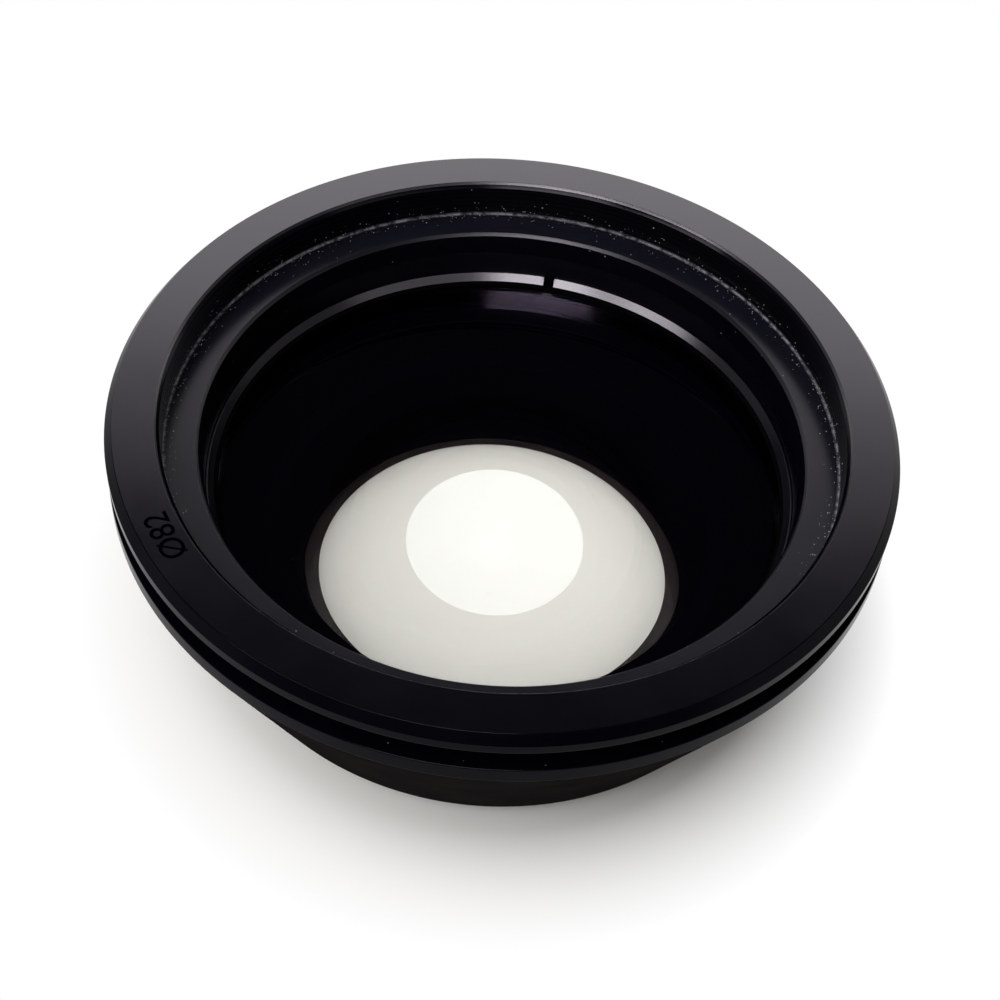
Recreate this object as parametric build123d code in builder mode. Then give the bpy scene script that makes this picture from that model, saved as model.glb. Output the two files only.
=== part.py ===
# Wide-angle conversion lens, standing on its rear mount with the front glass up.
# Millimetres, +Z along the optical axis towards the front, origin at the centre of
# the rear end face. A thick negative front element and a thin positive rear element
# are held in a conical barrel by threaded rings.
import os
from math import cos, radians, sin, sqrt

from build123d import *

os.makedirs("parts", exist_ok=True)

# Front filter ring and the grooved head of the barrel
filter_thread_radius = 41.0  # M82 filter thread, wall radius
filter_thread_depth = 5.0
bore_edge_chamfer = 0.2
ledge_width = 5.0  # from the thread's wall in to the glass bore
ledge_chamfer = 0.25
spigot_wall = 2.0  # the part of the ring that screws into the barrel
collar_wall = 1.45  # the barrel's collar around that spigot
flange_overhang = 2.5  # depth of the groove between the two flanges
upper_flange_thickness = 2.5
flange_chamfer_width = 0.9
flange_chamfer_height = 1.2
groove_width = 3.1
lower_flange_thickness = 2.1
flange_edge_chamfer = 0.2

# Skirt and rear end of the barrel
skirt_height = 22.45
foot_wall = 4.55  # the barrel's rim around the mount
foot_chamfer = 0.25
mount_thread_radius = 31.0  # M62 mounting thread, outside radius
mount_thread_length = 2.85
mount_wall = 2.95  # from the thread in to the rear glass
mount_shoulder = 1.0  # how much wider the mount's inner thread is
mount_edge_chamfer = 0.3
mount_lip_thickness = 1.1
mount_stop_width = 0.9  # the barrel's step that the mount screws up against

# Rear element, lowest first
rear_glass_recess = 2.0  # from the end face up to the glass
rear_element_thickness = 4.2
rear_outer_curve = 400.0  # the side that faces the camera lens
rear_inner_curve = 180.0
rear_seat_width = 1.25  # how far the shim reaches over the glass
shim_thickness = 0.65

# Front element
front_element_thickness = 5.5  # on the axis
front_outer_curve = 500.0
front_inner_curve = 40.8  # the deep hollow on its rear side
hollow_radius = 26.5
rear_land_width = 2.5  # flat ring around the hollow
bevel_height = 8.8
seat_width = 2.4  # flat step that rests on the barrel's shoulder
glass_chamfer = 0.4

# Retaining rings and the front seal
front_ring_width = 1.25
front_ring_thickness = 0.8
seal_thickness = 0.3
slot_width = 1.4
slot_azimuth = 83.0
rear_ring_width = 2.4
rear_ring_taper = 0.6
rear_ring_recess = 0.1
rear_slot_width = 2.0
rear_slot_depth = 0.8

# Three set screws in the groove lock the front ring
screw_radius = 1.0
screw_length = 1.9
screw_count = 3
screw_azimuth = 248.0
screw_socket_width = 0.9
screw_socket_depth = 0.9

# Fits
thread_clearance = 0.05
glass_clearance = 0.1
seat_clearance = 0.01
stack_clearance = 0.2
bevel_clearance = 0.5


def sag(curve, radius):
    """How far a sphere of this radius of curvature falls away from its vertex."""
    return curve - sqrt(curve * curve - radius * radius)


# Heights of the outside, from the end face up
skirt_foot = mount_thread_length
lower_flange_bottom = skirt_foot + skirt_height
groove_bottom = lower_flange_bottom + lower_flange_thickness
groove_top = groove_bottom + groove_width
top_face = groove_top + upper_flange_thickness
ledge = top_face - filter_thread_depth

# Radii of the head
spigot_radius = filter_thread_radius + spigot_wall
collar_bore = spigot_radius + thread_clearance
neck_radius = collar_bore + collar_wall
flange_radius = neck_radius + flange_overhang

# Radii of the glass bores, from the thread around each
glass_bore = filter_thread_radius - ledge_width
front_element_radius = glass_bore - glass_clearance
front_clear_radius = glass_bore - thread_clearance - front_ring_width
mount_bore = mount_thread_radius - mount_wall
rear_element_radius = mount_bore - glass_clearance
rear_seat_radius = rear_element_radius - rear_seat_width
rear_clear_radius = mount_bore - thread_clearance - rear_ring_width
rear_ring_seat_radius = rear_clear_radius + rear_ring_taper

# Heights of the glass stack
rear_vertex_low = rear_glass_recess
rear_vertex_high = rear_vertex_low + rear_element_thickness
rear_edge_low = rear_vertex_low + sag(rear_outer_curve, rear_element_radius)
rear_edge_high = rear_vertex_high - sag(rear_inner_curve, rear_element_radius)
shim_bottom = rear_vertex_high - sag(rear_inner_curve, rear_seat_radius) + seat_clearance
lip_bottom = shim_bottom + shim_thickness
mount_top = lip_bottom + mount_lip_thickness
front_land = mount_top + stack_clearance
hollow_vertex = front_land + sag(front_inner_curve, hollow_radius)
front_vertex = hollow_vertex + front_element_thickness
front_seat = front_land + bevel_height
front_rim = front_vertex - sag(front_outer_curve, front_clear_radius)
front_edge_high = front_vertex - sag(front_outer_curve, front_element_radius - glass_chamfer)
seal_bottom = front_rim + seat_clearance
front_ring_bottom = seal_bottom + seal_thickness
front_ring_top = front_ring_bottom + front_ring_thickness

# Radii inside the barrel
seat_radius = front_element_radius - seat_width
shoulder_radius = seat_radius + bevel_clearance
mount_root_radius = mount_thread_radius + mount_shoulder
barrel_rear_bore = mount_root_radius + thread_clearance
mount_stop_radius = mount_root_radius - mount_stop_width
skirt_foot_radius = barrel_rear_bore + foot_wall
land_radius = hollow_radius + rear_land_width
rear_ring_top = rear_vertex_low + sag(rear_outer_curve, rear_ring_seat_radius) - seat_clearance

# Set screws, counted round the axis
screw_height = (ledge + groove_top) / 2
screw_outer_end = neck_radius - thread_clearance
screw_inner_end = screw_outer_end - screw_length


def screw_plane(number, radius, facing):
    """A plane on one set screw's axis, facing outward for 1 and inward for -1."""
    turn = radians(screw_azimuth + number * 360 / screw_count)
    outward = Vector(cos(turn), sin(turn), 0)
    return Plane(origin=outward * radius + Vector(0, 0, screw_height), z_dir=outward * facing)


# Front ring: flat face, chamfered rim, filter thread wall and the spigot under it
with BuildPart() as front_ring:
    with BuildSketch(Plane.XZ):
        with BuildLine():
            Polyline(
                (filter_thread_radius, ledge),
                (filter_thread_radius, top_face - bore_edge_chamfer),
                (filter_thread_radius + bore_edge_chamfer, top_face),
                (flange_radius - flange_chamfer_width, top_face),
                (flange_radius, top_face - flange_chamfer_height),
                (flange_radius, groove_top + flange_edge_chamfer),
                (flange_radius - flange_edge_chamfer, groove_top),
                (spigot_radius, groove_top),
                (spigot_radius, ledge),
                close=True,
            )
        make_face()
    revolve(axis=Axis.Z)
    # Shallow seats for the points of the set screws
    for number in range(screw_count):
        with BuildSketch(screw_plane(number, screw_inner_end - thread_clearance, 1)):
            Circle(screw_radius + thread_clearance)
        extrude(amount=screw_length, mode=Mode.SUBTRACT)

# Barrel: collar, ledge, lower flange and the conical skirt around the glass bore
with BuildPart() as barrel:
    with BuildSketch(Plane.XZ):
        with BuildLine():
            Polyline(
                (collar_bore, ledge),
                (collar_bore, groove_top - thread_clearance),
                (neck_radius, groove_top - thread_clearance),
                (neck_radius, groove_bottom),
                (flange_radius - flange_edge_chamfer, groove_bottom),
                (flange_radius, groove_bottom - flange_edge_chamfer),
                (flange_radius, lower_flange_bottom),
                (skirt_foot_radius, skirt_foot + foot_chamfer),
                (skirt_foot_radius - foot_chamfer, skirt_foot),
                (barrel_rear_bore, skirt_foot),
                (barrel_rear_bore, mount_top),
                (mount_stop_radius, mount_top),
                (shoulder_radius, front_seat),
                (glass_bore, front_seat),
                (glass_bore, ledge - ledge_chamfer),
                (glass_bore + ledge_chamfer, ledge),
                close=True,
            )
        make_face()
    revolve(axis=Axis.Z)
    for number in range(screw_count):
        with BuildSketch(screw_plane(number, spigot_radius, 1)):
            Circle(screw_radius + thread_clearance)
        extrude(amount=flange_radius - spigot_radius, mode=Mode.SUBTRACT)

# Set screws: three headless screws with a socket, sunk flush in the groove's wall
with BuildPart() as ring_set_screws:
    for number in range(screw_count):
        with BuildSketch(screw_plane(number, screw_inner_end, 1)):
            Circle(screw_radius)
        extrude(amount=screw_length)
        with BuildSketch(screw_plane(number, screw_outer_end, -1)):
            RegularPolygon(screw_socket_width / 2, 6, major_radius=False)
        extrude(amount=screw_socket_depth, mode=Mode.SUBTRACT)

# Front element: nearly flat outside, a deep hollow inside, a stepped and bevelled edge
with BuildPart() as front_element:
    with BuildSketch(Plane.XZ):
        with BuildLine():
            front_edge = (front_element_radius - glass_chamfer, front_edge_high)
            RadiusArc((0, front_vertex), front_edge, front_outer_curve)
            Polyline(
                front_edge,
                (front_element_radius, front_edge_high - glass_chamfer),
                (front_element_radius, front_seat),
                (seat_radius, front_seat),
                (land_radius, front_land),
                (hollow_radius, front_land),
            )
            RadiusArc((0, hollow_vertex), (hollow_radius, front_land), front_inner_curve)
            Line((0, hollow_vertex), (0, front_vertex))
        make_face()
    revolve(axis=Axis.Z)

# Front seal: a flat rubber ring between the glass and its retaining ring
with BuildPart() as front_seal:
    with BuildSketch(Plane.XY.offset(seal_bottom)):
        Circle(front_element_radius)
        Circle(front_clear_radius, mode=Mode.SUBTRACT)
    extrude(amount=seal_thickness)

# Front retaining ring: threaded outside, with two slots for a spanner
with BuildPart() as front_retaining_ring:
    with BuildSketch(Plane.XY.offset(front_ring_bottom)):
        Circle(glass_bore - thread_clearance)
        Circle(front_clear_radius, mode=Mode.SUBTRACT)
    extrude(amount=front_ring_thickness)
    with BuildSketch(Plane.XY.offset(front_ring_top).rotated((0, 0, slot_azimuth))):
        Rectangle(2 * glass_bore, slot_width)
    extrude(amount=-front_ring_thickness / 2, mode=Mode.SUBTRACT)

# Rear mount: the mounting thread, the cell for the rear element and its inner lip
with BuildPart() as rear_mount:
    with BuildSketch(Plane.XZ):
        with BuildLine():
            Polyline(
                (mount_bore, 0),
                (mount_thread_radius - mount_edge_chamfer, 0),
                (mount_thread_radius, mount_edge_chamfer),
                (mount_thread_radius, mount_thread_length),
                (mount_root_radius, mount_thread_length),
                (mount_root_radius, mount_top),
                (rear_seat_radius, mount_top),
                (rear_seat_radius, lip_bottom),
                (mount_bore, lip_bottom),
                close=True,
            )
        make_face()
    revolve(axis=Axis.Z)

# Spacing shim: sets the air gap between the two elements
with BuildPart() as spacing_shim:
    with BuildSketch(Plane.XY.offset(shim_bottom)):
        Circle(rear_element_radius)
        Circle(rear_seat_radius, mode=Mode.SUBTRACT)
    extrude(amount=shim_thickness)

# Rear element: a thin biconvex glass
with BuildPart() as rear_element:
    with BuildSketch(Plane.XZ):
        with BuildLine():
            upper_edge = (rear_element_radius, rear_edge_high)
            lower_edge = (rear_element_radius, rear_edge_low)
            RadiusArc((0, rear_vertex_high), upper_edge, rear_inner_curve)
            Line(upper_edge, lower_edge)
            RadiusArc(lower_edge, (0, rear_vertex_low), rear_outer_curve)
            Line((0, rear_vertex_low), (0, rear_vertex_high))
        make_face()
    revolve(axis=Axis.Z)

# Rear retaining ring: threaded outside, tapered inside, with two spanner slots
with BuildPart() as rear_retaining_ring:
    with BuildSketch(Plane.XZ):
        with BuildLine():
            Polyline(
                (rear_clear_radius, rear_ring_recess),
                (mount_bore - thread_clearance, rear_ring_recess),
                (mount_bore - thread_clearance, rear_ring_top),
                (rear_ring_seat_radius, rear_ring_top),
                close=True,
            )
        make_face()
    revolve(axis=Axis.Z)
    with BuildSketch(Plane.XY.offset(rear_ring_recess)):
        Rectangle(2 * mount_bore, rear_slot_width)
    extrude(amount=rear_slot_depth, mode=Mode.SUBTRACT)

pieces = {
    "front_ring": front_ring,
    "ring_set_screws": ring_set_screws,
    "barrel": barrel,
    "front_element": front_element,
    "front_seal": front_seal,
    "front_retaining_ring": front_retaining_ring,
    "rear_mount": rear_mount,
    "spacing_shim": spacing_shim,
    "rear_element": rear_element,
    "rear_retaining_ring": rear_retaining_ring,
}
for name, piece in pieces.items():
    piece.part.label = name
    export_step(piece.part, f"parts/{name}.step")
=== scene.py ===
from math import cos, hypot, pi, radians, sin, sqrt, tan

import bmesh
import bpy
from mathutils import Matrix, Quaternion, Vector


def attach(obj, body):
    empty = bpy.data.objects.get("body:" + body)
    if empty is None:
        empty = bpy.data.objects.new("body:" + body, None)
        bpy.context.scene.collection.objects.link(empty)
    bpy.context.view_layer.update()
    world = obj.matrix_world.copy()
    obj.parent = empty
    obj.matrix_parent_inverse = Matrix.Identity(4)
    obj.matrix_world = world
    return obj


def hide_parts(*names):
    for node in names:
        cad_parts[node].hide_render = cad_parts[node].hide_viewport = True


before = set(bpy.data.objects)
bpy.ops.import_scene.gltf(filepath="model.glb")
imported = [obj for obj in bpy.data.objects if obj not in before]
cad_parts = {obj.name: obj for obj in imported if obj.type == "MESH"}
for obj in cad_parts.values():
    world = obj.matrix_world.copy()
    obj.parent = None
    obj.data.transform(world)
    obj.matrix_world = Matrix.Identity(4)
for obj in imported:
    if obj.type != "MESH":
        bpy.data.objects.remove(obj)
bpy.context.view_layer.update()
print("frame loaded")

scene = bpy.context.scene
mm = 0.001
latheSteps = 288
cornerSteps = 4
cornerShare = 0.45  # of a side, the most that a rounding may take
seamGap = 2e-6  # metres
sharpAngle = 40  # degrees, above which an edge is shaded sharp


# Shapes: every turned piece is an outline of (radius, height, rounding) in mm, spun about Z

# Corners with a rounding become short curves
def roundedOutline(points):
    outline = []
    for index, (radius, height, rounding) in enumerate(points):
        corner = Vector((radius, height))
        if not rounding:
            outline.append(corner)
            continue
        before = Vector(points[index - 1][:2]) - corner
        after = Vector(points[(index + 1) % len(points)][:2]) - corner
        most = cornerShare * min(before.length, after.length)
        reach = min(rounding / tan(before.angle(after) / 2), most)
        for step in range(cornerSteps + 1):
            share = step / cornerSteps
            arm = before.normalized() * (1 - share) ** 2 + after.normalized() * share ** 2
            outline.append(corner + arm * reach)
    return outline


def spin(bm, outline, closed=True):
    profile = [bm.verts.new((p[0] * mm, 0, p[1] * mm)) for p in outline]
    edges = [bm.edges.new(pair) for pair in zip(profile, profile[1:])]
    if closed:
        edges.append(bm.edges.new((profile[-1], profile[0])))
    bmesh.ops.spin(bm, geom=profile + edges, cent=(0, 0, 0), axis=(0, 0, 1), angle=2 * pi, steps=latheSteps)
    bmesh.ops.remove_doubles(bm, verts=bm.verts, dist=seamGap)


ridge = {
    "stepsPerTurn": 144,
    "runOut": 30,  # steps in which it grows at one end and fades at the other
    "rootHalf": 0.45,  # half its width at the root and at the crest, as shares of the pitch
    "crestHalf": 0.08,
}


# A helical ridge with a trapezoid section, tapered away at both ends
def threadRidge(bm, size):
    root, pitch = size["threadRoot"], size["threadPitch"]
    wide, narrow = ridge["rootHalf"], ridge["crestHalf"]
    count = int((size["threadTop"] - size["threadBottom"]) / pitch * ridge["stepsPerTurn"])
    previous = None
    for step in range(count + 1):
        angle = 2 * pi * step / ridge["stepsPerTurn"]
        height = size["threadBottom"] + pitch * step / ridge["stepsPerTurn"]
        grown = min(1, step / ridge["runOut"], (count - step) / ridge["runOut"])
        tip = root + (size["threadCrest"] - root) * grown
        section = [(root, -wide), (tip, -narrow), (tip, narrow), (root, wide)]
        ring = [
            bm.verts.new((r * mm * cos(angle), r * mm * sin(angle), (height + share * pitch) * mm))
            for r, share in section
        ]
        if previous:
            for a in range(4):
                b = (a + 1) % 4
                bm.faces.new((previous[a], previous[b], ring[b], ring[a]))
        else:
            bm.faces.new(ring)
        previous = ring
    bm.faces.new(list(reversed(previous)))


def makePiece(name, bm, materials, sharp=sharpAngle):
    bmesh.ops.recalc_face_normals(bm, faces=bm.faces)
    mesh = bpy.data.meshes.new(name)
    bm.to_mesh(mesh)
    bm.free()
    for material in materials:
        mesh.materials.append(material)
    mesh.shade_smooth()
    mesh.set_sharp_from_angle(angle=radians(sharp))
    piece = bpy.data.objects.new(name, mesh)
    scene.collection.objects.link(piece)
    return piece


# Flat faces stay flat beside their rounded edges
def weighNormals(piece):
    modifier = piece.modifiers.new("weighNormals", "WEIGHTED_NORMAL")
    modifier.keep_sharp = True
    modifier.weight = 100


# The cut faces take the material of what cut them
def cutAway(piece, cutters):
    for cutter in cutters:
        modifier = piece.modifiers.new("cut", "BOOLEAN")
        modifier.operation = "DIFFERENCE"
        modifier.solver = "EXACT"
        modifier.material_mode = "TRANSFER"
        modifier.object = cutter
    bpy.context.view_layer.update()
    shaped = bpy.data.meshes.new_from_object(piece.evaluated_get(bpy.context.evaluated_depsgraph_get()))
    shaped.name = piece.name
    piece.modifiers.clear()
    piece.data = shaped
    for cutter in cutters:
        bpy.data.objects.remove(cutter)
    shaped.set_sharp_from_angle(angle=radians(sharpAngle))


# The two slots for a spanner, on opposite sides of a ring and cut into its face at this height
def slotCutters(size, height):
    inner, outer = size["slotFrom"], size["slotTo"]
    cutters = []
    for turn in (size["slotAzimuth"], size["slotAzimuth"] + 180):
        bm = bmesh.new()
        block = Matrix.Diagonal((outer - inner, size["slotWidth"], 2 * size["slotDepth"], 1))
        bmesh.ops.create_cube(bm, size=mm, matrix=block)
        bmesh.ops.translate(bm, verts=bm.verts, vec=Vector(((inner + outer) / 2, 0, height)) * mm)
        bmesh.ops.rotate(bm, verts=bm.verts, cent=(0, 0, 0), matrix=Matrix.Rotation(radians(turn), 3, "Z"))
        cutters.append(makePiece("cutter", bm, [paint]))
    return cutters


# Points of a spherical face, from the axis out to this radius. Side is -1 for a face that falls away from
# its vertex and 1 for one that rises
def glassArc(radius, vertex, curve, steps, side=-1):
    arc = []
    for step in range(steps + 1):
        away = radius * step / steps
        arc.append((away, vertex + side * (curve - sqrt(curve * curve - away * away))))
    return arc


def addPiece(piece, node):
    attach(piece, "root")
    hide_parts(node)


# Finishes

# A value is a number, a colour or the socket of another node
def setInput(material, socket, value):
    if isinstance(value, bpy.types.NodeSocket):
        material.node_tree.links.new(value, socket)
    else:
        socket.default_value = value


# The names of the inputs have _ for a space
def addNode(material, kind, **inputs):
    node = material.node_tree.nodes.new("ShaderNode" + kind)
    for name, value in inputs.items():
        setInput(material, node.inputs[name.replace("_", " ")], value)
    return node


def addMath(material, operation, *values):
    node = addNode(material, "Math")
    node.operation = operation
    for socket, value in zip(node.inputs, values):
        setInput(material, socket, value)
    return node.outputs[0]


def newMaterial(name):
    material = bpy.data.materials.new(name)
    material.use_nodes = True
    material.node_tree.nodes.clear()
    return material


def finishMaterial(material, shader):
    addNode(material, "OutputMaterial", Surface=shader)
    return material


def objectPlace(material):
    return addNode(material, "TexCoord").outputs["Object"]


# Distance from the axis and height, both in metres
def axisPlaces(material):
    place = objectPlace(material)
    parts = addNode(material, "SeparateXYZ", Vector=place)
    radius = addMath(material, "SQRT", addMath(
        material, "ADD",
        addMath(material, "MULTIPLY", parts.outputs["X"], parts.outputs["X"]),
        addMath(material, "MULTIPLY", parts.outputs["Y"], parts.outputs["Y"])))
    return place, radius, parts.outputs["Z"]


# Noise whose blotches are about this many mm across, from 0 to 1
def noise(material, place, size, detail=3.0, roughness=0.55):
    return addNode(material, "TexNoise", Vector=place, Scale=1 / (size * mm), Detail=detail,
                   Roughness=roughness).outputs["Fac"]


def ramp(material, value, low, high, start=0.0, end=1.0):
    node = addNode(material, "MapRange", Value=value)
    node.inputs["From Min"].default_value = low
    node.inputs["From Max"].default_value = high
    node.inputs["To Min"].default_value = start
    node.inputs["To Max"].default_value = end
    return node.outputs["Result"]


def mixColour(material, share, first, second):
    node = addNode(material, "Mix")
    node.data_type = "RGBA"
    for index, value in ((0, share), (6, first), (7, second)):
        setInput(material, node.inputs[index], value)
    return node.outputs[2]


def mixLevel(material, share, first, second):
    node = addNode(material, "Mix")
    for index, value in ((0, share), (2, first), (3, second)):
        setInput(material, node.inputs[index], value)
    return node.outputs[0]


def mixShaders(material, share, first, second):
    node = addNode(material, "MixShader", Fac=share)
    material.node_tree.links.new(first, node.inputs[1])
    material.node_tree.links.new(second, node.inputs[2])
    return node.outputs[0]


# Sizes in mm. The pairs are the ends between which a noise or a distance takes effect
anodised = {
    "dark": (0.0005, 0.0005, 0.0014, 1),
    "light": (0.0013, 0.0012, 0.0029, 1),
    "sheen": (0.98, 0.91, 1.0, 1),
    "dust": (0.34, 0.35, 0.38, 1),
    "bare": (0.055, 0.052, 0.050, 1),  # rubbed edges
    "latheMark": 0.11,  # from one turning mark to the next
    "blotch": 6.0,
    "grain": 0.12,
    "grainShare": 0.4,  # how much of the grain the roughness takes up beside the blotches
    "roughFrom": (0.3, 1.1),
    "fade": 9.0,  # patches in which the turning marks fade
    "fadeFrom": (0.3, 0.7),
    "lineShare": 2.0,  # how much the coarser lines outweigh the blotches
    "lineFrom": (1.1, 1.9),
    "worn": (0.05, 0.30),  # distance from a worn corner
    "rub": 3.5,  # patches in which it is rubbed bare
    "rubFrom": (0.50, 0.75),
    "relief": 0.004,
    "bump": 0.25,
}


# Distance in mm from a corner that runs round the axis at this radius and height
def fromCorner(material, radius, height, corner):
    aside = addMath(material, "SUBTRACT", radius, corner[0] * mm)
    above = addMath(material, "SUBTRACT", height, corner[1] * mm)
    squares = addMath(material, "ADD", addMath(material, "MULTIPLY", aside, aside),
                      addMath(material, "MULTIPLY", above, above))
    return addMath(material, "DIVIDE", addMath(material, "SQRT", squares), mm)


# Dust that lies as powder in a corner and thins out to single specks
def settledDust(material, place, radius, height, dust):
    distance = fromCorner(material, radius, height, dust["corner"])
    cells = addNode(material, "TexVoronoi", Vector=place, Scale=1 / (dust["spacing"] * mm))
    random = addNode(material, "SeparateColor", Color=cells.outputs["Color"])
    size = ramp(material, random.outputs["Green"], 0.0, 1.0, *dust["speck"])
    speck = addMath(material, "LESS_THAN", cells.outputs["Distance"], size)
    density = ramp(material, distance, 0.0, dust["reach"], dust["thick"], dust["thin"])
    kept = addMath(material, "LESS_THAN", random.outputs["Red"], density)
    powder = ramp(material, distance, 0.0, dust["powderReach"], dust["powder"], 0.0)
    patches = ramp(material, noise(material, place, dust["patch"]), *dust["patchFrom"], dust["least"], 1.0)
    return addMath(material, "MAXIMUM", addMath(material, "MULTIPLY", speck, kept),
                   addMath(material, "MULTIPLY", powder, patches))


# Black anodised aluminium with turning marks and a faint blasted grain. A look says how smooth and how rough
# it is, its shine and its marks, and may add colours, coarser lines in mm, a worn corner and dust
def anodisedBlack(name, look):
    material = newMaterial(name)
    place, radius, height = axisPlaces(material)
    along = addMath(material, "ADD", radius, height)
    blotches = noise(material, place, anodised["blotch"])
    grain = noise(material, place, anodised["grain"], 2.0)
    turning = addMath(material, "SINE", addMath(
        material, "MULTIPLY", along, 2 * pi / (anodised["latheMark"] * mm)))
    fading = ramp(material, noise(material, place, anodised["fade"]), *anodised["fadeFrom"])
    uneven = addMath(material, "MULTIPLY", turning, fading)
    share = blotches
    if "lines" in look:
        lines = addNode(material, "TexNoise", Scale=1 / (look["lines"] * mm), Detail=4.0)
        lines.noise_dimensions = "1D"
        material.node_tree.links.new(along, lines.inputs["W"])
        streaks = addMath(material, "MULTIPLY_ADD", lines.outputs["Fac"], anodised["lineShare"], blotches)
        share = ramp(material, streaks, *anodised["lineFrom"])
    dark, light = (look.get(shade, anodised[shade]) for shade in ("dark", "light"))
    colour = mixColour(material, share, dark, light)
    if "worn" in look:
        distance = fromCorner(material, radius, height, look["worn"])
        bared = ramp(material, distance, *anodised["worn"], 1.0, 0.0)
        rubbed = ramp(material, noise(material, place, anodised["rub"]), *anodised["rubFrom"])
        colour = mixColour(material, addMath(material, "MULTIPLY", bared, rubbed), colour, anodised["bare"])
    unevenness = addMath(material, "MULTIPLY_ADD", grain, anodised["grainShare"], blotches)
    roughness = ramp(material, unevenness, *anodised["roughFrom"], look["smooth"], look["rough"])
    if "dust" in look:
        dust = settledDust(material, place, radius, height, look["dust"])
        colour = mixColour(material, dust, colour, anodised["dust"])
        roughness = addMath(material, "MAXIMUM", roughness, dust)
    relief = addMath(material, "MULTIPLY_ADD", uneven, look["marks"], grain)
    bump = addNode(material, "Bump", Height=relief, Strength=anodised["bump"],
                   Distance=anodised["relief"] * mm)
    shader = addNode(material, "BsdfPrincipled", Base_Color=colour, Roughness=roughness,
                     Specular_IOR_Level=look["shine"], Normal=bump.outputs[0],
                     Specular_Tint=look.get("sheen", anodised["sheen"]))
    return finishMaterial(material, shader.outputs[0])


# Sizes in mm, and pairs as above
glassLook = {
    "index": 1.52,
    "body": (0.985, 0.985, 0.978, 1),
    "haze": 0.004,
    "hazePatch": 4.0,
    "hazeFrom": (0.3, 0.8),
    "dust": (0.6, 0.6, 0.62, 1),
    "dustSpacing": 6.0,
    "speck": (0.02, 0.035),  # a speck's edge, as a share of the spacing
    "dustPatch": 11.0,
    "dustFrom": (0.52, 0.54),
    "shade": (0.93, 0.93, 0.93, 1),  # what a face leaves of a lamp's light
}
# How many times as much as bare glass each coating mirrors, and its tint
frontCoat = {"strength": 2.0, "tint": (0.85, 0.72, 1.0, 1)}
innerCoat = {"strength": 2.2, "tint": (0.92, 0.96, 1.0, 1)}
rearCoat = {**innerCoat, "strength": 0.15}


def coatedGlass(name, coat, dusty=False):
    material = newMaterial(name)
    place = objectPlace(material)
    patches = noise(material, place, glassLook["hazePatch"])
    haze = ramp(material, patches, *glassLook["hazeFrom"], 0.0, glassLook["haze"])
    through = addNode(material, "BsdfRefraction", Color=glassLook["body"], Roughness=haze,
                      IOR=glassLook["index"])
    mirror = addNode(material, "BsdfAnisotropic", Color=coat["tint"], Roughness=haze)
    bare = addNode(material, "Fresnel", IOR=glassLook["index"]).outputs[0]
    share = addMath(material, "MULTIPLY", bare, coat["strength"])
    surface = mixShaders(material, share, through.outputs[0], mirror.outputs[0])
    if dusty:
        cells = addNode(material, "TexVoronoi", Vector=place, Scale=1 / (glassLook["dustSpacing"] * mm))
        speck = ramp(material, cells.outputs["Distance"], *glassLook["speck"], 1.0, 0.0)
        kept = ramp(material, noise(material, place, glassLook["dustPatch"]), *glassLook["dustFrom"])
        dust = addNode(material, "BsdfDiffuse", Color=glassLook["dust"])
        surface = mixShaders(material, addMath(material, "MULTIPLY", speck, kept), surface, dust.outputs[0])
    clear = addNode(material, "BsdfTransparent", Color=glassLook["shade"])
    shadow = addNode(material, "LightPath").outputs["Is Shadow Ray"]
    return finishMaterial(material, mixShaders(material, shadow, surface, clear.outputs[0]))


# The matt paint on the ground edges of the glass, the seal's rubber and the screws' steel
mottledLooks = {
    "edgePaint": {"patch": 0.8, "dark": (0.0003, 0.0003, 0.0010, 1), "light": (0.0009, 0.0009, 0.0028, 1),
                  "rough": 0.9, "shine": 0.0, "bump": 0.2, "relief": 0.02},
    "sealRubber": {"patch": 0.6, "dark": (0.0008, 0.0008, 0.0008, 1), "light": (0.002, 0.002, 0.002, 1),
                   "smooth": 0.6, "rough": 0.85, "shine": 0.05, "bump": 0.3, "relief": 0.02},
    "screwSteel": {"patch": 0.4, "dark": (0.03, 0.03, 0.033, 1), "light": (0.09, 0.09, 0.095, 1),
                   "smooth": 0.3, "rough": 0.5, "shine": 0.5, "metal": 0.9, "bump": 0.2, "relief": 0.01},
}


def mottled(name):
    look = mottledLooks[name]
    material = newMaterial(name)
    patches = noise(material, objectPlace(material), look["patch"])
    colour = mixColour(material, patches, look["dark"], look["light"])
    roughness = look["rough"]
    if "smooth" in look:
        roughness = ramp(material, patches, 0.2, 0.8, look["smooth"], look["rough"])
    bump = addNode(material, "Bump", Height=patches, Strength=look["bump"], Distance=look["relief"] * mm)
    shader = addNode(material, "BsdfPrincipled", Base_Color=colour, Roughness=roughness,
                     Metallic=look.get("metal", 0.0), Specular_IOR_Level=look["shine"],
                     Normal=bump.outputs[0])
    return finishMaterial(material, shader.outputs[0])


# How dust lies round the corner where the thread's wall meets the ledge, in mm
cornerDust = {
    "corner": (40.6, 28.0),
    "spacing": 0.26,
    "speck": (0.10, 0.30),  # radius of the specks, as a share of the spacing
    "reach": 2.0,  # distance over which they go from thick to thin
    "thick": 0.36,
    "thin": 0.005,
    "powder": 0.75,
    "powderReach": 0.35,
    "patch": 0.8,
    "patchFrom": (0.38, 0.62),
    "least": 0.1,  # how much of the powder is left between its patches
}
satin = {"smooth": 0.13, "rough": 0.17, "shine": 0.55, "marks": 0.4}
edge = {"smooth": 0.24, "rough": 0.32, "shine": 0.25, "marks": 0.3}
dusty = {"smooth": 0.30, "rough": 0.40, "shine": 0.03, "marks": 0.5, "dust": cornerDust}
satinFinish = anodisedBlack("satinAnodised", satin)
rimFinish = anodisedBlack("rimAnodised", {**satin, "shine": 0.025})
edgeFinish = anodisedBlack("edgeAnodised", edge)
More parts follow.
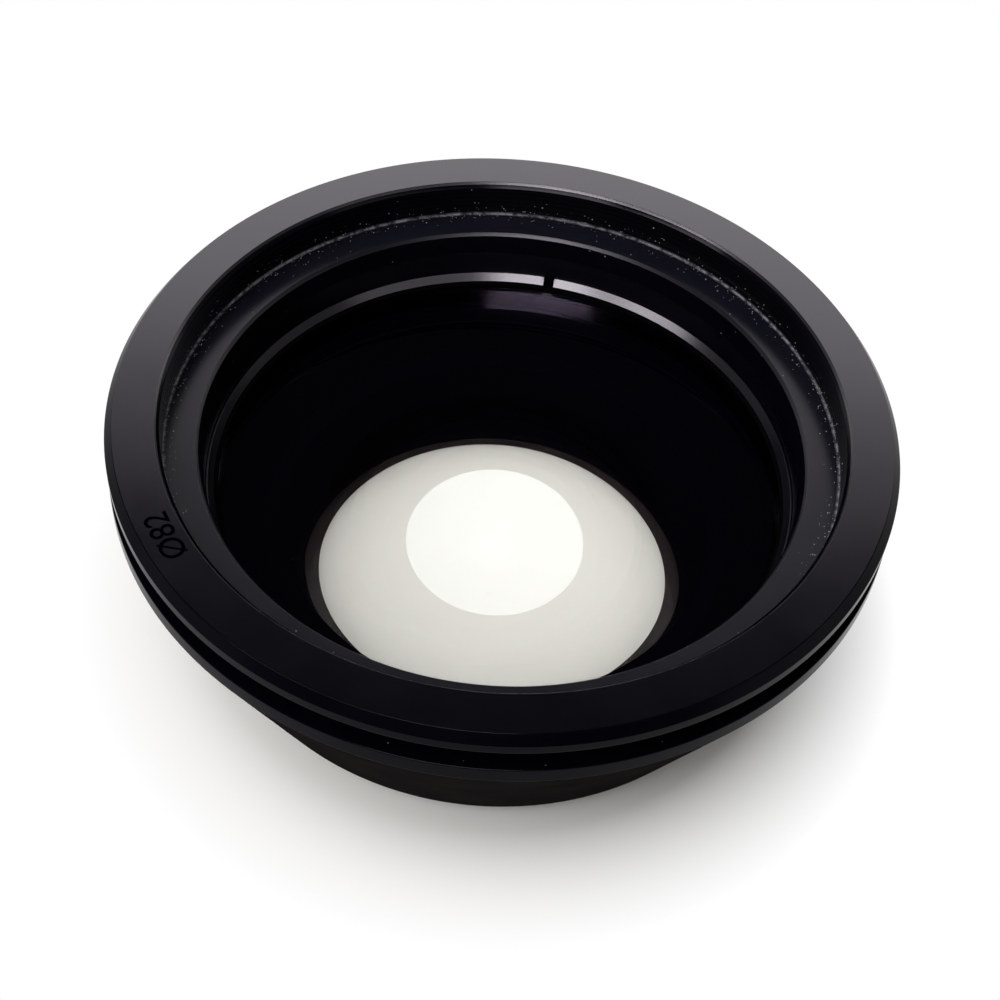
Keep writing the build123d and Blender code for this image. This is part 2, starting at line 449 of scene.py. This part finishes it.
dustyFinish = anodisedBlack("dustyAnodised", dusty)
frontCoated = coatedGlass("frontGlassCoated", frontCoat, dusty=True)
innerCoated = coatedGlass("innerGlassCoated", innerCoat)
rearCoated = coatedGlass("rearGlassCoated", rearCoat)
paint = mottled("edgePaint")
print("finishes made")


# Front ring with its filter thread and the engraved size

frontRingSize = {
    "outline": [
        (40.6, 28.0, 0), (40.6, 28.3, 0.05), (41.02, 28.55, 0.05), (41.02, 32.1, 0), (40.64, 32.28, 0.04),
        (41.0, 32.7, 0.03), (41.22, 33.0, 0.04), (46.1, 33.0, 0.16), (47.0, 31.8, 0.12), (47.0, 30.5, 0.18),
        (43.0, 30.5, 0), (43.0, 28.0, 0),
    ],
    "threadRoot": 41.06,
    "threadCrest": 40.6,
    "threadPitch": 0.75,
    "threadBottom": 28.6,
    "threadTop": 32.0,
    "leadFrom": 32.12,  # height where the thread's lead-in starts
    "topFrom": 32.6,  # height where the top's inner edge starts, and its outer radius
    "edgeTo": 41.24,
    "topTo": 46.05,  # outer radius of the satin top
}
sizeMark = {
    "letters": "Ø82",
    "azimuths": (216.1, 212.7, 210.2),
    "radius": 42.1,  # foot of the letters, on the ring's face
    "face": 33.0,
    "height": 4.0,
    "stroke": 0.02,
    "depth": 0.14,
}


def letterCutters():
    cutters = []
    for letter, azimuth in zip(sizeMark["letters"], sizeMark["azimuths"]):
        curve = bpy.data.curves.new("letter", "FONT")
        curve.body = letter
        curve.align_x = "CENTER"
        curve.size = sizeMark["height"] * mm
        curve.extrude = sizeMark["depth"] * mm
        curve.offset = sizeMark["stroke"] * mm
        flat = bpy.data.objects.new("letter", curve)
        scene.collection.objects.link(flat)
        bpy.context.view_layer.update()
        mesh = bpy.data.meshes.new_from_object(flat.evaluated_get(bpy.context.evaluated_depsgraph_get()))
        bpy.data.objects.remove(flat)
        turn = radians(azimuth)
        outward = Vector((cos(turn), sin(turn), 0)) * sizeMark["radius"] * mm
        foot = Matrix.Translation(outward + Vector((0, 0, sizeMark["face"] * mm)))
        mesh.transform(foot @ Matrix.Rotation(turn - pi / 2, 4, "Z"))
        mesh.materials.clear()
        mesh.materials.append(paint)
        cutter = bpy.data.objects.new("letterCutter", mesh)
        scene.collection.objects.link(cutter)
        cutters.append(cutter)
    return cutters


def makeFrontRing():
    size = frontRingSize
    bm = bmesh.new()
    spin(bm, roundedOutline(size["outline"]))
    finishes = [dustyFinish, satinFinish, rimFinish, edgeFinish]
    ring = makePiece("frontRingTurned", bm, finishes)
    for face in ring.data.polygons:
        x, y, z = face.center / mm
        away = hypot(x, y)
        finish = dustyFinish
        if away > size["topTo"]:
            finish = rimFinish
        elif z > size["topFrom"]:
            finish = edgeFinish if away < size["edgeTo"] else satinFinish
        elif z > size["leadFrom"]:
            finish = rimFinish
        face.material_index = finishes.index(finish)
    cutAway(ring, letterCutters())
    bm = bmesh.new()
    bm.from_mesh(ring.data)
    threadRidge(bm, size)
    bm.to_mesh(ring.data)
    bm.free()
    ring.data.shade_smooth()
    ring.data.set_sharp_from_angle(angle=radians(sharpAngle))
    weighNormals(ring)
    addPiece(ring, "front_ring")


makeFrontRing()
print("front ring made")


# Barrel with its collar, ledge, lower flange and conical skirt

barrelSize = {
    "outline": [
        (43.05, 28.0, 0), (43.05, 30.45, 0), (44.5, 30.45, 0.1), (44.5, 27.4, 0.08), (47.0, 27.4, 0.22),
        (47.0, 25.3, 0.1), (36.6, 3.1, 0.3), (36.35, 2.85, 0.12), (32.05, 2.85, 0.12), (32.05, 5.97, 0),
        (31.1, 5.97, 0), (34.0, 14.97, 0), (36.0, 14.97, 0), (36.0, 25.1, 0), (36.48, 27.6, 0.04),
        (36.8, 28.0, 0.04),
    ],
    "edgeFrom": 27.58,  # height where the bright edge of the ledge starts, and its outer radius
    "edgeTo": 36.82,
    "ledgeTo": 41.0,
    "outside": 44.0,  # radius from which the collar and the flange are outside
    "grooveTo": 46.8,
    "footFrom": 36.3,  # radius of the skirt's foot and height of its top
    "skirtTo": 25.28,
    "cellFrom": 6.0,  # height and radius between which the cone round the hollow lies
    "cellTo": 34.02,
    "boreTo": 36.1,
    "threadedFrom": 20.0,  # heights between which the bore is cut for the retaining ring
    "threadedTo": 25.1,
}
screwHoles = {
    "radius": 1.05,
    "from": 42.5,  # distances from the axis
    "to": 45.5,
    "height": 29.25,
    "azimuth": 248,
    "count": 3,
    "segments": 32,
}

ledge = {"dark": (0.003, 0.003, 0.006, 1), "light": (0.006, 0.006, 0.010, 1), "smooth": 0.22, "rough": 0.28,
         "shine": 0.30, "marks": 0.4, "dust": cornerDust}
skirt = {"dark": (0.0070, 0.0065, 0.0065, 1), "light": (0.0155, 0.0143, 0.0137, 1), "smooth": 0.4,
         "rough": 0.55, "shine": 0.0, "marks": 0.5, "lines": 0.42, "worn": (36.6, 3.0)}
# The cone round the hollow has a lighter, bluish base colour: a painted reflection, standing in for a bluish
# gleam of light on it
cellWithPaintedGleam = {"dark": (0.008, 0.010, 0.024, 1), "light": (0.014, 0.017, 0.036, 1), "sheen": (0.42, 0.48, 1.0, 1),
        "smooth": 0.4, "rough": 0.5, "shine": 0.2, "marks": 0.8}
ledgeFinish = anodisedBlack("ledgeAnodised", ledge)
skirtFinish = anodisedBlack("skirtAnodised", skirt)
cutFinish = anodisedBlack("cutAnodised", {"smooth": 0.10, "rough": 0.16, "shine": 0.25, "marks": 1.5})
ledgeEdgeFinish = anodisedBlack("ledgeEdgeAnodised", {**edge, "smooth": 0.36, "rough": 0.44})
cellPaintedGleamFinish = anodisedBlack("cellPaintedGleamAnodised", cellWithPaintedGleam)


def holeCutters():
    size = screwHoles
    cutters = []
    for index in range(size["count"]):
        bm = bmesh.new()
        radius = size["radius"] * mm
        bmesh.ops.create_cone(bm, cap_ends=True, segments=size["segments"], radius1=radius, radius2=radius,
                              depth=(size["to"] - size["from"]) * mm, matrix=Matrix.Rotation(pi / 2, 4, "Y"))
        middle = Vector(((size["from"] + size["to"]) / 2, 0, size["height"])) * mm
        bmesh.ops.translate(bm, verts=bm.verts, vec=middle)
        turn = radians(size["azimuth"] + 360 * index / size["count"])
        bmesh.ops.rotate(bm, verts=bm.verts, cent=(0, 0, 0), matrix=Matrix.Rotation(turn, 3, "Z"))
        cutters.append(makePiece("cutter", bm, [dustyFinish]))
    return cutters


def makeBarrel():
    size = barrelSize
    bm = bmesh.new()
    spin(bm, roundedOutline(size["outline"]))
    finishes = [dustyFinish, cutFinish, skirtFinish, ledgeEdgeFinish, ledgeFinish, rimFinish, cellPaintedGleamFinish]
    barrel = makePiece("barrelTurned", bm, finishes)
    for face in barrel.data.polygons:
        x, y, z = face.center / mm
        away = hypot(x, y)
        finish = dustyFinish
        if away > size["outside"] and z > size["skirtTo"]:
            finish = rimFinish if away > size["grooveTo"] else dustyFinish
        elif away > size["footFrom"] and z < size["skirtTo"]:
            finish = skirtFinish
        # The cone round the hollow takes the finish with the painted reflection
        elif away < size["cellTo"] and z > size["cellFrom"]:
            finish = cellPaintedGleamFinish
        elif away < size["boreTo"] and size["threadedFrom"] < z < size["threadedTo"]:
            finish = cutFinish
        elif away < size["edgeTo"] and z > size["edgeFrom"]:
            finish = ledgeEdgeFinish
        elif away < size["ledgeTo"] and z > size["edgeFrom"]:
            finish = ledgeFinish
        face.material_index = finishes.index(finish)
    cutAway(barrel, holeCutters())
    weighNormals(barrel)
    addPiece(barrel, "barrel")


makeBarrel()
print("barrel made")


# Front glass: polished faces clear, its ground edges painted black

frontGlassSize = {
    "top": 21.45,
    "frontCurve": 500.0,
    "hollowTop": 15.95,
    "hollowCurve": 40.8,
    "hollowRadius": 26.5,
    "landRadius": 29.0,
    "seatRadius": 33.5,
    "seatHeight": 14.97,
    "radius": 35.9,
    "chamfer": 0.4,
    "frontFrom": 18.0,  # height above which a face belongs to the front
    "steps": 70,
    "sharp": 20,
}


def makeFrontGlass():
    size = frontGlassSize
    rim = size["radius"] - size["chamfer"]
    frontArc = glassArc(rim, size["top"], size["frontCurve"], size["steps"])
    hollowArc = glassArc(size["hollowRadius"], size["hollowTop"], size["hollowCurve"], size["steps"])
    ground = [(size["radius"], frontArc[-1][1] - size["chamfer"]), (size["radius"], size["seatHeight"]),
              (size["seatRadius"], size["seatHeight"]), (size["landRadius"], hollowArc[-1][1])]
    bm = bmesh.new()
    spin(bm, frontArc + ground + hollowArc[::-1], closed=False)
    finishes = [frontCoated, innerCoated, paint]
    for face in bm.faces:
        centre = face.calc_center_median() / mm
        away = hypot(centre.x, centre.y)
        finish = paint
        if away < rim and centre.z > size["frontFrom"]:
            finish = frontCoated
        elif away < size["hollowRadius"]:
            finish = innerCoated
        face.material_index = finishes.index(finish)
    glass = makePiece("frontGlass", bm, finishes, sharp=size["sharp"])
    addPiece(glass, "front_element")


makeFrontGlass()


# Rear glass, thin and rounded on both sides

rearGlassSize = {
    "bottom": 2.0,
    "top": 6.2,
    "radius": 27.95,
    "upperCurve": 180.0,
    "lowerCurve": 400.0,
    "edgeFrom": 27.0,  # outside this radius, a face less level than this belongs to the ground edge
    "edgeSlope": 0.5,
    "steps": 50,
    "sharp": 20,
}


def makeRearGlass():
    size = rearGlassSize
    upper = glassArc(size["radius"], size["top"], size["upperCurve"], size["steps"])
    lower = glassArc(size["radius"], size["bottom"], size["lowerCurve"], size["steps"], side=1)
    bm = bmesh.new()
    spin(bm, upper + lower[::-1], closed=False)
    for face in bm.faces:
        centre = face.calc_center_median() / mm
        upright = abs(face.normal.z) < size["edgeSlope"]
        face.material_index = 1 if upright and hypot(centre.x, centre.y) > size["edgeFrom"] else 0
    glass = makePiece("rearGlass", bm, [rearCoated, paint], sharp=size["sharp"])
    addPiece(glass, "rear_element")


makeRearGlass()
print("glass made")


# Rings that hold the glass, each with two slots for a spanner

frontRetainerSize = {
    "outline": [
        (35.05, 20.56, 0), (35.95, 20.56, 0), (35.95, 21.75, 0.04), (35.76, 21.75, 0.04),
        (35.05, 20.84, 0.04),
    ],
    "top": 21.75,
    "slotFrom": 34.0,
    "slotTo": 37.0,
    "slotWidth": 1.4,
    "slotDepth": 0.95,
    "slotAzimuth": 83.0,
}
rearRetainerSize = {
    "outline": [(25.6, 0.1, 0.06), (28.0, 0.1, 0.1), (28.0, 2.85, 0), (26.75, 2.85, 0)],
    "bottom": 0.1,
    "boreTo": 26.6,  # radius inside which the ring is lit through the glass
    "undersideSlope": -0.3,  # a face whose normal points further down than this is underneath
    "slotFrom": 26.6,
    "slotTo": 29.0,
    "slotWidth": 2.0,
    "slotDepth": 0.8,
    "slotAzimuth": 0.0,
}

retainer = {"smooth": 0.20, "rough": 0.27, "shine": 0.24, "marks": 0.3}
blacked = {"smooth": 0.5, "rough": 0.6, "shine": 0.04, "marks": 0.8}
mount = {"dark": (0.003, 0.003, 0.004, 1), "light": (0.009, 0.009, 0.011, 1), "smooth": 0.2, "rough": 0.28,
         "shine": 0.3, "marks": 0.6}
# The bore face of the rear ring is a lighter, brownish copy of the blacked finish: painted light, standing in
# for the light that reaches it through the glass
paintedLitBore = {**blacked, "dark": (0.022, 0.017, 0.018, 1), "light": (0.040, 0.032, 0.033, 1)}
retainerFinish = anodisedBlack("retainerAnodised", retainer)
blackedFinish = anodisedBlack("blackedAnodised", blacked)
mountFinish = anodisedBlack("mountAnodised", mount)
paintedLitBoreFinish = anodisedBlack("paintedLitBoreAnodised", paintedLitBore)


def makeRetainers():
    size = frontRetainerSize
    bm = bmesh.new()
    spin(bm, roundedOutline(size["outline"]))
    ring = makePiece("frontRetainerTurned", bm, [retainerFinish])
    cutAway(ring, slotCutters(size, size["top"]))
    weighNormals(ring)
    addPiece(ring, "front_retaining_ring")

    size = rearRetainerSize
    bm = bmesh.new()
    spin(bm, roundedOutline(size["outline"]))
    finishes = [blackedFinish, paintedLitBoreFinish, mountFinish]
    ring = makePiece("rearRetainerTurned", bm, finishes)
    for face in ring.data.polygons:
        finish = blackedFinish
        if face.normal.z < size["undersideSlope"]:
            finish = mountFinish
        # Faces inside the bore take the finish with the painted light
        elif hypot(*face.center[:2]) < size["boreTo"] * mm:
            finish = paintedLitBoreFinish
        face.material_index = finishes.index(finish)
    cutAway(ring, slotCutters(size, size["bottom"]))
    weighNormals(ring)
    addPiece(ring, "rear_retaining_ring")


makeRetainers()


# Rear mount with its thread

rearMountSize = {
    "outline": [
        (28.05, 0, 0.1), (30.55, 0, 0.15), (30.55, 2.5, 0), (31.0, 2.6, 0), (31.0, 2.85, 0), (32.0, 2.85, 0),
        (32.0, 5.97, 0), (26.7, 5.97, 0.1), (26.7, 4.87, 0.1), (28.05, 4.87, 0),
    ],
    "outsideFrom": 28.1,  # outside this radius and below this height the mount shows
    "outsideTo": 2.9,
    "threadRoot": 30.5,
    "threadCrest": 30.98,
    "threadPitch": 0.75,
    "threadBottom": 0.45,
    "threadTop": 2.4,
}


def makeRearMount():
    size = rearMountSize
    bm = bmesh.new()
    spin(bm, roundedOutline(size["outline"]))
    threadRidge(bm, size)
    ring = makePiece("rearMountTurned", bm, [blackedFinish, mountFinish])
    for face in ring.data.polygons:
        away = hypot(*face.center[:2])
        shows = away > size["outsideFrom"] * mm and face.center.z < size["outsideTo"] * mm
        face.material_index = 1 if shows else 0
    weighNormals(ring)
    addPiece(ring, "rear_mount")


makeRearMount()

# Pieces that keep their mesh from the frame
keptFinishes = {
    "front_seal": mottled("sealRubber"),
    "ring_set_screws": mottled("screwSteel"),
    "spacing_shim": blackedFinish,
}
for node, finish in keptFinishes.items():
    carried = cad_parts[node]
    carried.data.materials.clear()
    carried.data.materials.append(finish)
print("rings and mount made")


# Floor, light and camera

room = {
    "floorRadius": 4.0,  # metres
    "floorSides": 96,
    "floorNear": (0.92, 0.905, 0.875, 1),
    "fibre": 2.0,  # mm
    "fibreRelief": 0.05,
    "fibreBump": 0.05,
    "whiteFrom": 0.038,  # metres from the axis, where the floor starts to fade to white
    "whiteAt": 0.0535,
    "fill": 0.36,
    "walls": 1.0,
    "wallsFrom": 0.12,  # sines of the elevations between which the white walls end
    "wallsTo": 0.25,
    "ceiling": 0.007,
    "zenith": 0.5,  # a pale patch straight above, from the first of these sines to the second
    "zenithFrom": 0.975,
    "zenithTo": 0.99,
    "hidden": 0.95,  # how far the bore walls lose the floor that they mirror through the glass
}


def makeFloor():
    material = newMaterial("floorPaper")
    place, radius, height = axisPlaces(material)
    fibres = noise(material, place, room["fibre"])
    bump = addNode(material, "Bump", Height=fibres, Strength=room["fibreBump"],
                   Distance=room["fibreRelief"] * mm)
    path = addNode(material, "LightPath").outputs
    both = addMath(material, "MINIMUM", path["Glossy Depth"], path["Transmission Depth"])
    hidden = addMath(material, "MULTIPLY", addMath(material, "MINIMUM", both, 1.0), room["hidden"])
    colour = mixColour(material, hidden, room["floorNear"], (0, 0, 0, 1))
    paper = addNode(material, "BsdfDiffuse", Color=colour, Normal=bump.outputs[0])
    white = addNode(material, "Emission", Color=(1, 1, 1, 1), Strength=1.0)
    mirrored = addMath(material, "MAXIMUM", path["Is Glossy Ray"], path["Is Transmission Ray"])
    seen = addMath(material, "MAXIMUM", path["Is Camera Ray"], mirrored)
    fade = ramp(material, radius, room["whiteFrom"], room["whiteAt"])
    share = addMath(material, "MULTIPLY", fade, seen)
    finishMaterial(material, mixShaders(material, share, paper.outputs[0], white.outputs[0]))
    bm = bmesh.new()
    bmesh.ops.create_circle(bm, cap_ends=True, segments=room["floorSides"], radius=room["floorRadius"])
    makePiece("floor", bm, [material])


def makeWorld():
    world = bpy.data.worlds.new("room")
    scene.world = world
    world.use_nodes = True
    world.node_tree.nodes.clear()
    direction = addNode(world, "TexCoord").outputs["Generated"]
    upward = addNode(world, "SeparateXYZ", Vector=direction).outputs["Z"]
    walls = ramp(world, upward, room["wallsFrom"], room["wallsTo"], room["walls"], room["ceiling"])
    zenith = ramp(world, upward, room["zenithFrom"], room["zenithTo"], 0.0, room["zenith"])
    path = addNode(world, "LightPath").outputs
    mirrored = addMath(world, "MAXIMUM", path["Is Glossy Ray"], path["Is Transmission Ray"])
    level = mixLevel(world, mirrored, room["fill"], addMath(world, "MAXIMUM", walls, zenith))
    shown = mixLevel(world, path["Is Camera Ray"], level, 1.0)
    background = addNode(world, "Background", Color=(1, 1, 1, 1), Strength=shown)
    addNode(world, "OutputWorld", Surface=background.outputs[0])


lamps = {
    "overhead": {"place": (-0.38, -0.20, 0.56), "size": (0.8, 0.8), "shape": "ELLIPSE", "glow": 2.7,
                 "seen": ("diffuse",)},
    "leftSoft": {"place": (-0.75, -0.60, 0.75), "size": (0.6, 0.6), "shape": "ELLIPSE", "glow": 2.0,
                 "seen": ("diffuse",)},
    "overheadMirrored": {"place": (0, 0.08, 0.62), "size": (1.46, 1.46), "shape": "ELLIPSE", "glow": 3.1,
                         "seen": ("transmission",)},
    "window": {"place": (-0.205, -1.226, 0.839), "size": (0.84, 0.31), "shape": "RECTANGLE", "glow": 42.0,
               "seen": ("glossy",), "lights": "metal"},
    "windowLeft": {"place": (-0.93, -0.867, 0.72), "size": (0.90, 0.22), "shape": "RECTANGLE", "glow": 32.0,
                   "seen": ("glossy",), "lights": "rings"},
    "windowRight": {"place": (0.80, -0.98, 0.78), "size": (1.10, 0.25), "shape": "RECTANGLE", "glow": 4.0,
                    "seen": ("glossy",), "lights": "rings"},
    "farWallLow": {"place": (0, 1.50, 0.63), "size": (5.0, 1.26), "shape": "RECTANGLE", "glow": 2.9,
                   "seen": ("glossy",), "lights": "metal", "level": True},
    "farWallHigh": {"place": (0, 1.50, 1.39), "size": (5.0, 0.26), "shape": "RECTANGLE", "glow": 2.4,
                    "seen": ("glossy",), "lights": "metal", "level": True},
    "farWallTop": {"place": (0, 1.50, 1.65), "size": (5.0, 0.26), "shape": "RECTANGLE", "glow": 0.9,
                   "seen": ("glossy",), "lights": "metal", "level": True},
    "leftWall": {"place": (-1.50, 0, 0.50), "size": (2.0, 1.0), "shape": "RECTANGLE", "glow": 0.6,
                 "seen": ("glossy",), "lights": "metal", "level": True},
    "rightWall": {"place": (1.50, 0, 0.50), "size": (2.0, 1.0), "shape": "RECTANGLE", "glow": 0.6,
                  "seen": ("glossy",), "lights": "metal", "level": True},
}
lampPieces = {
    "rings": ("frontRingTurned", "frontRetainerTurned", "rearMountTurned", "ring_set_screws"),
    "metal": ("frontRingTurned", "frontRetainerTurned", "rearMountTurned", "ring_set_screws", "barrelTurned"),
}


def makeLamp(name, settings):
    width, depth = settings["size"]
    lamp = bpy.data.lights.new(name, "AREA")
    lamp.shape = settings["shape"]
    lamp.size = width
    lamp.size_y = depth
    area = width * depth * (pi / 4 if settings["shape"] == "ELLIPSE" else 1)
    lamp.energy = settings["glow"] * pi * area
    holder = bpy.data.objects.new(name, lamp)
    holder.location = settings["place"]
    aim = -Vector(settings["place"])
    if "level" in settings:
        aim.z = 0
    holder.rotation_euler = aim.to_track_quat("-Z", "Y").to_euler()
    for ray in ("diffuse", "glossy", "transmission", "volume_scatter"):
        setattr(holder, "visible_" + ray, ray in settings["seen"])
    holder.visible_camera = False
    scene.collection.objects.link(holder)
    if "lights" in settings:
        lit = bpy.data.collections.new(name + "Lights")
        for piece in lampPieces[settings["lights"]]:
            lit.objects.link(bpy.data.objects[piece])
        holder.light_linking.receiver_collection = lit


cameraView = {
    "place": (0.0, -0.1514, 0.191),
    "aim": (0.0002, -0.0147, 0.033),
    "roll": 4.92,
    "lens": 66.4,
}


def makeCamera():
    data = bpy.data.cameras.new("camera")
    data.lens = cameraView["lens"]
    data.sensor_width = 36
    data.clip_start = 0.005
    camera = bpy.data.objects.new("camera", data)
    camera.location = cameraView["place"]
    forward = Vector(cameraView["aim"]) - Vector(cameraView["place"])
    rolled = Quaternion((0, 0, 1), radians(cameraView["roll"]))
    camera.rotation_mode = "QUATERNION"
    camera.rotation_quaternion = forward.to_track_quat("-Z", "Y") @ rolled
    scene.collection.objects.link(camera)
    scene.camera = camera


makeFloor()
makeWorld()
for name, settings in lamps.items():
    makeLamp(name, settings)
makeCamera()
scene.view_settings.view_transform = "Standard"
print("floor, light and camera made")
